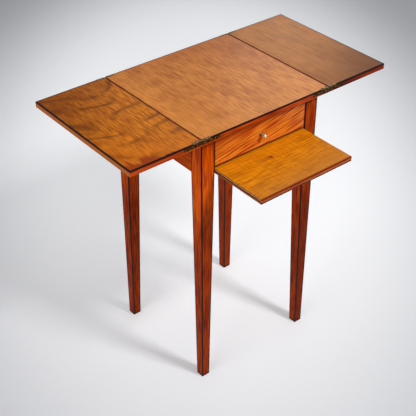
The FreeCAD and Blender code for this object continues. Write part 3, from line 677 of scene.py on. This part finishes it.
# Painted shadow under the top: its height below the underside.
UNDER_TOP_SHADOW = 5 * MM
FOOT_DARKENING = (9 * MM, 1 * MM)


def red_wood_finish(shader, place, along):
    """Red grain along one axis, multiplied by the painted shade of that axis, by the painted shade towards
    the floor and by the dark stave, with a painted shadow under the top and darker feet."""
    face = place_group(wood_grain, turned(place, along), **RED_WOOD)
    stave = calc("*", slope(place, FRONT, *STAVE_SKIN, LEG_FRONT), slope(place, RIGHT, *STAVE_SIDE))
    # Painted shade: darker rails.
    colour = mix(1.0, face["Color"], AXIS_SHADE[along], "MULTIPLY")
    # Painted shade towards the floor.
    colour = mix(slope(place, UP, *DARK_FROM), colour, LEG_FLOOR_SHADE, "MULTIPLY")
    colour = mix(stave, colour, DARK_STAVE, "MULTIPLY")
    # Painted shadow under the top.
    colour = shade(colour, slope(place, UP, -UNDER_TOP_SHADOW, 0.0, UNDER_TOP), 0.6, DARK_TINT)
    colour = shade(colour, slope(place, UP, *FOOT_DARKENING), 0.8, DARK_TINT)
    polish(shader, face, colour, rough=0.3, gloss=0.03)


red_wood = {along: new_finish(f"red_wood_along_{along.lower()}", red_wood_finish, along)
            for along in GRAIN_TURN}

# %% [markdown]
# Inside, the table is plain pale wood, never polished: drawer sides, runners, guides and kickers. It is
# dry, a little grey with dust, and rough. A flat tan could do for what is rarely seen, but the drawer
# opens, and then its sides and bottom show.

# %% Finish of the plain inside wood
INSIDE_WOOD = wood((206, 172, 126), (158, 118, 76), (110, 78, 48), Spacing=0.005, Lines=0.2, Streaks=0.9,
                   Fibre=0.8, Pores=0.6)


def inside_finish(shader, place, along):
    """Unpolished pale wood with brown dust in slow clouds."""
    face = place_group(wood_grain, turned(place, along), **INSIDE_WOOD)
    dust = clouds(place, pace=14.0, octaves=4.0, low=0.45, high=0.7)
    colour = shade(face["Color"], dust, 0.35, paint(120, 98, 76))
    polish(shader, face, colour, rough=0.55, gloss=0.25, relief=0.3)


inside_wood = {along: new_finish(f"inside_wood_along_{along.lower()}", inside_finish, along)
               for along in GRAIN_TURN}

# %% [markdown]
# The strips are black wood, too dark and too thin to show any grain. Pure black would look like a gap in
# the table, so soft clouds of purple brown run through it, and the same clouds change the gloss.

# %% Finish of the black strips
STRIP_ROUGHNESS = 0.25
STRIP_DULLING = 0.2


def black_wood_finish(shader, place):
    """Near-black wood with soft purple-brown clouds, rougher where they are."""
    cloud = noise(place, pace=140.0, octaves=4.0, falloff=0.6)
    colour = mix(soft_step(cloud, 0.45, 0.8), paint(14, 6, 6), paint(44, 18, 18))
    roughness = calc("+", calc("*", cloud, STRIP_DULLING), STRIP_ROUGHNESS)
    feed(shader, {"Base Color": colour, "Specular IOR Level": 0.1, "Roughness": roughness})


black_wood = new_finish("black_strip_polish", black_wood_finish)

# %% [markdown]
# The hardware is brass and steel. Old brass is rubbed bright where it is touched, on the tops of the hinges
# and on the ball of the knob, and brown where it isn't. One even metal would look new. A group gives the
# tarnish as a mask, and each metal places it with its own amounts. The hinge screws are steel gone dark.

# %% Finish of the hardware
COARSE_TARNISH = 0.7
FINE_TARNISH = 0.3
DRAWER_FACE = -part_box("drawer_front")[0].y
HINGE_RUB = (UP, -1.6 * MM, -0.4 * MM, TOP_Z)
KNOB_RUB = (FRONT, 4 * MM, 7 * MM, DRAWER_FACE)


def build_tarnish(given):
    """Mask of tarnish: a coarse and a fine noise, added by their shares and cut to cover the amount."""
    coarse = calc("*", noise(given["Vector"], pace=240.0, octaves=3.0, falloff=0.6), COARSE_TARNISH)
    fine = calc("*", noise(given["Vector"], pace=900.0), FINE_TARNISH)
    return {"Mask": covering(calc("+", coarse, fine), given["Amount"], below=0.14, above=0.14)}


def metal_finish(shader, place, bright, dull, smooth, rough, hidden, touched, rub=(UP, 0.0, 1.0)):
    """Metal that goes from bright and smooth to dull and rough with its tarnish. The amount of tarnish
    changes from hidden to touched along the slope rub."""
    amount = calc("+", calc("*", slope(place, *rub), touched - hidden), hidden)
    mask = place_group(tarnish, place, Amount=amount)["Mask"]
    roughness = calc("+", smooth, calc("*", mask, rough - smooth))
    feed(shader, {"Base Color": mix(mask, bright, dull), "Roughness": roughness, "Metallic": 1.0})


tarnish = new_group("tarnish", build_tarnish, {"Amount": 0.5}, {"Mask": "Float"})
hinge_brass = new_finish("hinge_brass", metal_finish, paint(240, 204, 144), paint(88, 50, 14),
                         smooth=0.3, rough=0.5, hidden=0.64, touched=0.55, rub=HINGE_RUB)
knob_brass = new_finish("knob_brass", metal_finish, paint(250, 242, 214), paint(150, 112, 64),
                        smooth=0.34, rough=0.5, hidden=1.3, touched=0.3, rub=KNOB_RUB)
old_steel = new_finish("old_steel", metal_finish, paint(150, 144, 136), paint(84, 66, 52),
                       smooth=0.35, rough=0.6, hidden=0.5, touched=0.5)
dark_steel = new_finish("dark_steel", metal_finish, paint(70, 50, 40), paint(26, 12, 6),
                        smooth=0.4, rough=0.6, hidden=0.6, touched=0.6)

# %% [markdown]
# Each piece now takes its finish by name. A table could hold every name, but most names say what the piece
# is, so a list of word starts is enough, read from the top: the first that fits wins.

# %% Give every piece its finish
FINISHES = (
    ("top_board", centre_polish),
    ("leaf_left", left_polish),
    ("leaf_right", right_polish),
    ("hinge_screws", dark_steel),
    ("hinge_", hinge_brass),
    ("drawer_knob", knob_brass),
    ("drawer_front", drawer_polish),
    ("slide_board", slide_polish),
    ("slide_lipping", lipping_polish),
    ("leg_stringing leaf_stringing top_stringing", black_wood),
    ("top_fixing guide_screws slide_runner_screws drawer_bottom_nails", old_steel),
    ("leg_", red_wood["Z"]),
    ("end_rail", red_wood["Y"]),
    ("back_rail front_top_rail", red_wood["X"]),
    ("front_middle_rail drawer_back drawer_bottom", inside_wood["X"]),
    ("slide_stop_pegs", inside_wood["Z"]),
    ("drawer_ slide_runner", inside_wood["Y"]),
)
for name, piece in nodes.items():
    fitting = (finish for starts, finish in FINISHES if name.startswith(tuple(starts.split())))
    piece.data.materials.clear()
    piece.data.materials.append(next(fitting))
print("finishes in use:", len({piece.data.materials[0].name for piece in nodes.values()}))

# %% [markdown]
# A black strip is never quite sharp: its outer corner is rubbed round. A bevel modifier could round it, but
# would need telling which edge. Here the strip is a profile carried along a path: a rectangle with one
# corner replaced by a quarter circle. At each point of the path two vectors say where its sides point, so a
# mitre is only a longer vector.

# %% Surfaces from profiles
ROUND_STEPS = 5
RUBBED_CORNER = 0.6 * MM


def arc(centre, radius, start, stop, steps):
    """Points of an arc: centre plus radius times cosine and sine of an angle in degrees."""
    angle = np.radians(np.linspace(start, stop, steps))
    return np.stack([centre[0] + radius * np.cos(angle), centre[1] + radius * np.sin(angle)], 1)


def strip_profile(width, height):
    """Rectangle whose corner at (0, 0) is a quarter circle, followed by the other three corners."""
    rounded = arc((RUBBED_CORNER, RUBBED_CORNER), RUBBED_CORNER, 180, 270, ROUND_STEPS)
    return np.concatenate([rounded, [[width, 0.0], [width, height], [0.0, height]]])


def outwards(corners, faces):
    """Corners and faces, which are turned round if they point inwards. Then the volume is below zero: a
    sixth of the sum, over triangles, of one corner dotted with the cross product of the other two."""
    fans = np.array([(face[0], face[i], face[i + 1]) for face in faces for i in range(1, len(face) - 1)])
    a, b, c = (corners[fans[:, i]] for i in range(3))
    volume = np.einsum("ij,ij->", a, np.cross(b, c)) / 6
    return corners, faces if volume > 0 else [face[::-1] for face in faces]


def grid_faces(rows, around):
    """Faces of a grid that is closed around: a point, the next one, and the same two in the next row."""
    here = np.arange(around)
    there = np.roll(here, -1)
    quad = np.stack([here, there, there + around, here + around], 1)
    return (quad[None] + around * np.arange(rows - 1)[:, None, None]).reshape(-1, 4)


def carry(points, first, second, profile):
    """Profile carried along points: each ring is the point plus the profile's two coordinates times the
    two vectors at that point. The two end rings are closed by one face each."""
    points, first, second = (np.asarray(a, float) for a in (points, first, second))
    rings = points[:, None] + profile[None, :, :1] * first[:, None] + profile[None, :, 1:] * second[:, None]
    count, around = rings.shape[:2]
    ends = [list(range(around))[::-1], list(range(around * (count - 1), around * count))]
    return outwards(rings.reshape(-1, 3), grid_faces(count, around).tolist() + ends)


print("a strip's profile has", len(strip_profile(2 * MM, 2 * MM)), "points")

# %% [markdown]
# The centre board has a strip along its front and its back, between the hinges. A leaf's strip runs round
# its three free edges. It could be three sticks, but their ends would overlap at the corners, so it is one
# path, and at the two outer corners the inward vector points along the diagonal of the mitre. Each new
# piece rides on the body of the plain strip that it stands for.

# %% Strips round the top
def new_piece(name, parts, finish, body, stands_for):
    """Mesh object from (vertices, faces) parts, riding on a body in place of a CAD piece."""
    start = np.cumsum([0] + [len(corners) for corners, faces in parts])
    corners = np.concatenate([corners for corners, faces in parts])
    faces = [[index + first for index in face] for first, (_, part) in zip(start, parts) for face in part]
    mesh = bpy.data.meshes.new(name)
    mesh.from_pydata(corners.tolist(), [], faces)
    mesh.materials.append(finish)
    piece = bpy.data.objects.new(name, mesh)
    bpy.context.scene.collection.objects.link(piece)
    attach(piece, body)
    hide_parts(stands_for)
    return piece


top_profile = strip_profile(STRIP_WIDTH, STRIP_HEIGHT)
for end, inwards in (("front", 1), ("back", -1)):
    low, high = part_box(f"top_stringing_{end}")
    edge = low.y if inwards > 0 else high.y
    path = [(low.x, edge, high.z), (high.x, edge, high.z)]
    part = carry(path, [(0, inwards, 0)] * 2, [DOWN] * 2, top_profile)
    new_piece(f"top_strip_{end}", [part], black_wood, "frame", f"top_stringing_{end}")
for side, inwards in (("left", 1), ("right", -1)):
    low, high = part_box(f"leaf_stringing_{side}")
    tip, root = (low.x, high.x) if inwards > 0 else (high.x, low.x)
    path = [(root, low.y, high.z), (tip, low.y, high.z), (tip, high.y, high.z), (root, high.y, high.z)]
    sides = [(0, 1, 0), (inwards, 1, 0), (inwards, -1, 0), (0, -1, 0)]
    part = carry(path, sides, [DOWN] * 4, top_profile)
    new_piece(f"leaf_strip_{side}", [part], black_wood, f"{side}_leaf", f"leaf_stringing_{side}")
print("top strips", (top_profile.max(0) / MM).round(2), "mm in section")

# %% [markdown]
# The legs have the same strip in all four corners. Its path bends where the taper starts. The places of the
# foot and of the square part could be written down again, but then they could differ from the leg, so they
# are read off the plain strips: their lowest points give the foot and the strip's width.

# %% Strips in the corners of the legs
ON_FLOOR = 0.01 * MM
DIGITS = 5


def leg_levels(plain):
    """Outer rectangles (low and high x, low and high y) of a leg's plain strips at the floor and at the
    square part, with the heights where the taper ends and where the leg ends, and the strip's width."""
    place = np.zeros(len(plain.data.vertices) * 3, np.float32)
    plain.data.vertices.foreach_get("co", place)
    place = place.reshape(-1, 3).astype(float)
    lowest = place[place[:, 2] < ON_FLOOR]
    foot, square = (np.stack([a.min(0), a.max(0)], 1) for a in (lowest[:, :2], place[:, :2]))
    taper_end = np.unique(place[:, 2].round(DIGITS))[1]
    widths = np.unique(lowest[:, 0].round(DIGITS))
    return foot, square, taper_end, place[:, 2].max(), widths[1] - widths[0]


for leg in ("front_left", "front_right", "back_left", "back_right"):
    foot, square, bend, top, width = leg_levels(nodes[f"leg_stringing_{leg}"])
    parts = []
    for i, j in ((0, 0), (0, 1), (1, 0), (1, 1)):
        path = [(foot[0, i], foot[1, j], 0.0), (square[0, i], square[1, j], bend),
                (square[0, i], square[1, j], top)]
        sides = [(1 - 2 * i, 0, 0)] * 3, [(0, 1 - 2 * j, 0)] * 3
        parts.append(carry(path, *sides, strip_profile(width, width)))
    new_piece(f"leg_strips_{leg}", parts, black_wood, "frame", f"leg_stringing_{leg}")
print("leg strips", round(width / MM, 2), "mm wide bend at", round(bend, 4), "m up")

# %% [markdown]
# The knob is turned brass: a rose against the wood, a hollow neck, a fine collar and a ball. A screw
# modifier could turn it. Here it is one grid of angle and profile point, worked out in a single array,
# which shows what the modifier does.

# %% The turned knob
TURNS = 64
# Radii of the knob in millimetres, with the bevel of its stud. A bead is the radius of a rounded rim, and
# the collar is given by the centre of its bead.
STUD = 2.0
STUD_BEVEL = 0.4
ROSE = 4.9
ROSE_BEAD = 0.6
HOLLOW = 3.0
COLLAR = (2.6, 5.6)
COLLAR_BEAD = 0.9
BALL = 6.2


def knob_profile(length, stud):
    """Outline from the end of the stud to the tip of the ball, as (radius, distance in front of the
    drawer), from lengths in millimetres to metres; the ball ends at length."""
    tail = [(0.0, -stud), (STUD - STUD_BEVEL, -stud), (STUD, STUD_BEVEL - stud), (STUD, 0.0)]
    rose = arc((ROSE, ROSE_BEAD), ROSE_BEAD, -90, 90, 7)
    hollow = arc((ROSE, 2 * ROSE_BEAD + HOLLOW), HOLLOW, -90, -180, 9)
    collar = arc(COLLAR, COLLAR_BEAD, -80, 80, 9)
    ball = arc((0.0, length - BALL), BALL, -64, 90, 33)
    ball[-1, 0] = 0.0
    return np.concatenate([tail, rose, hollow, collar, ball]) * MM


def spin(profile, turns):
    """Grid of profile point and angle: radius times cosine, radius times sine, and place on the axis."""
    angle = np.linspace(0, 2 * np.pi, turns, endpoint=False)
    radius, along = profile[:, :1], profile[:, 1:]
    return np.stack([radius * np.cos(angle), radius * np.sin(angle), np.repeat(along, turns, 1)], 2)


def lathe(profile, origin):
    """Surface of a profile spun about an axis along -Y. Its first and last points lie on the axis and
    become poles, each joined to its ring by triangles."""
    rings = spin(profile[1:-1], TURNS)
    poles = [(0.0, 0.0, profile[0, 1]), (0.0, 0.0, profile[-1, 1])]
    corners = np.concatenate([rings.reshape(-1, 3), poles])[:, [0, 2, 1]] * (1, -1, 1) + np.array(origin)
    count = len(rings) * TURNS
    here = np.arange(TURNS)
    there = np.roll(here, -1)
    first_pole = np.stack([there, here, np.full(TURNS, count)], 1)
    last_pole = np.stack([here + count - TURNS, there + count - TURNS, np.full(TURNS, count + 1)], 1)
    faces = grid_faces(len(rings), TURNS).tolist() + first_pole.tolist() + last_pole.tolist()
    return outwards(corners, faces)


low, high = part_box("drawer_knob")
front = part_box("drawer_front")[0].y
profile = knob_profile((front - low.y) / MM, (high.y - front) / MM)
knob = new_piece("turned_knob", [lathe(profile, ((low.x + high.x) / 2, front, (low.z + high.z) / 2))],
                 knob_brass, "drawer", "drawer_knob")
knob.data.shade_smooth()
print("knob", len(knob.data.vertices), "vertices,", round(2 * profile[:, 0].max() / MM, 1), "mm across")

# %% [markdown]
# The stage is one round cove: a flat floor that rises in a quarter circle into a wall. A plane would end in
# a line behind the table, and a cove for one side would show its ends from another. So it is a profile
# turned about the upright axis, seen from inside.

# %% The cove
COVE_INNER = (0.02, 1.2, 2.4)
COVE_FLAT = 3.4
COVE_BEND = 1.6
COVE_TOP = 2.4
COVE_STEPS = 25
COVE_TURNS = 96
cove_floor = [(radius, 0.0) for radius in COVE_INNER]
cove_rise = arc((COVE_FLAT, COVE_BEND), COVE_BEND, -90, 0, COVE_STEPS)
grid = spin(np.concatenate([cove_floor, cove_rise, [(COVE_FLAT + COVE_BEND, COVE_TOP)]]), COVE_TURNS)
cove_faces = grid_faces(len(grid), COVE_TURNS)[:, ::-1].tolist()
cove_mesh = bpy.data.meshes.new("cove")
cove_mesh.from_pydata(grid.reshape(-1, 3).tolist(), [], cove_faces + [list(range(COVE_TURNS))])
cove_mesh.shade_smooth()
cove = bpy.data.objects.new("cove", cove_mesh)
bpy.context.scene.collection.objects.link(cove)
print("cove of", len(cove_faces), "faces")

# %% [markdown]
# The paper of the cove has a painted pool of light, a long pale oval under and behind the table, is greyer
# outside it and paler again up the wall. More light would make it white, but would bleach the table too.
# So part of what is seen of it is a glow, which lifts the shadows on the paper. It shows to the camera, in
# reflections and through glass, and lights nothing.

# %% Finish of the cove
# Painted pool of light on the paper: centre, turn and shape of the pale oval, and where it fades to grey.
LIGHT_POOL_CENTRE = (0.61, 0.83, 0.0)
OVAL_TURN = math.radians(38)
OVAL_SHAPE = (1.0, 0.54, 0.3)
OVAL_EDGE = (0.42, 1.15)
WALL_RISE = (0.0, 0.8)
LIFT = 0.1
GLOW = 0.26
BLACK = paint(0, 0, 0)


def paper_finish(shader, place):
    """Matt pale paper, a little mottled, with a painted pool of light in a long pale oval and grey outside
    it.
    Where it is seen, its own colour is lowered by LIFT and a glow of that colour is added."""
    # Painted pool of light, grey outside it.
    outside = soft_step(oval(place, LIGHT_POOL_CENTRE, OVAL_TURN, OVAL_SHAPE), *OVAL_EDGE)
    colour = mix(outside, paint(251, 252, 254), paint(166, 168, 172))
    colour = mix(slope(place, UP, *WALL_RISE), colour, paint(242, 244, 247))
    colour = shade(colour, noise(place, pace=3.0, octaves=3.0), 0.06, paint(214, 216, 220))
    rays = place.id_data.nodes.new("ShaderNodeLightPath").outputs
    seen = calc("max", rays["Is Camera Ray"], rays["Is Glossy Ray"])
    seen = calc("max", seen, rays["Is Transmission Ray"])
    lowered = shade(colour, seen, LIFT, BLACK)
    feed(shader, {"Base Color": lowered, "Roughness": 0.9, "Specular IOR Level": 0.1,
                  "Emission Color": mix(seen, BLACK, colour), "Emission Strength": GLOW})


cove_mesh.materials.append(new_finish("pale_paper", paper_finish))

# %% [markdown]
# Soft studio light: a large sheet overhead, a small one high at the front that throws the shadows back, one
# at the left, a weak one behind at the right for a sheen on the top, and a weak sky. Sun or spot lamps
# would cut hard shadows. The left sheet isn't mirrored in the polish, because from the right it would turn
# the top white. The power is set so that a surface facing the light shows about the colour it was given.

# %% Light
# Each lamp: its place, the point it looks at, the side of its sheet in metres, and its power in watts.
LIGHTS = {
    "overhead": ((0.2, -0.2, 3.1), (0.0, 0.0, 0.4), 3.0, 27.8),
    "front_sheet": ((0.6, -2.0, 2.7), (0.0, 0.0, 0.3), 0.5, 53.5),
    "left_sheet": ((-2.6, -0.6, 1.2), (0.0, 0.0, 0.5), 1.8, 31.0),
    "back_sheet": ((2.9, 2.2, 2.3), (0.2, 0.0, 0.7), 1.5, 7.0),
}
SKY = 0.22
for name, (place, target, size, power) in LIGHTS.items():
    lamp = bpy.data.lights.new(name, "AREA")
    lamp.size = size
    lamp.energy = power
    holder = bpy.data.objects.new(name, lamp)
    holder.location = place
    way = holder.location - Vector(target)
    holder.rotation_euler = way.to_track_quat("Z", "Y").to_euler()
    holder.visible_camera = False
    holder.visible_glossy = name != "left_sheet"
    bpy.context.scene.collection.objects.link(holder)
world = bpy.data.worlds.new("soft_sky")
world.use_nodes = True
feed(world.node_tree.nodes["Background"], {"Color": paint(244, 246, 250), "Strength": SKY})
bpy.context.scene.world = world
print("lamps:", list(LIGHTS))

# %% [markdown]
# The camera looks down from the front left, through a long lens. A shifted lens could keep the legs
# parallel in the picture, but it would push the table out of every other view. So this one isn't shifted,
# and the legs close a little towards the floor.

# %% Camera
CAMERA_PLACE = (-1.2431, -1.5033, 1.7741)
CAMERA_YAW = math.radians(39.05)
CAMERA_PITCH = math.radians(-35.81)
FOCAL_PIXELS = 939.5
IMAGE_PIXELS = 416
lens = bpy.data.cameras.new("camera")
lens.sensor_width = 36.0
lens.lens = FOCAL_PIXELS / IMAGE_PIXELS * lens.sensor_width
camera = bpy.data.objects.new("camera", lens)
camera.location = CAMERA_PLACE
camera.rotation_euler = (math.pi / 2 + CAMERA_PITCH, 0.0, -CAMERA_YAW)
bpy.context.scene.collection.objects.link(camera)
bpy.context.scene.camera = camera
bpy.context.scene.view_settings.view_transform = "Standard"
print("camera with a", round(lens.lens, 1), "mm lens")
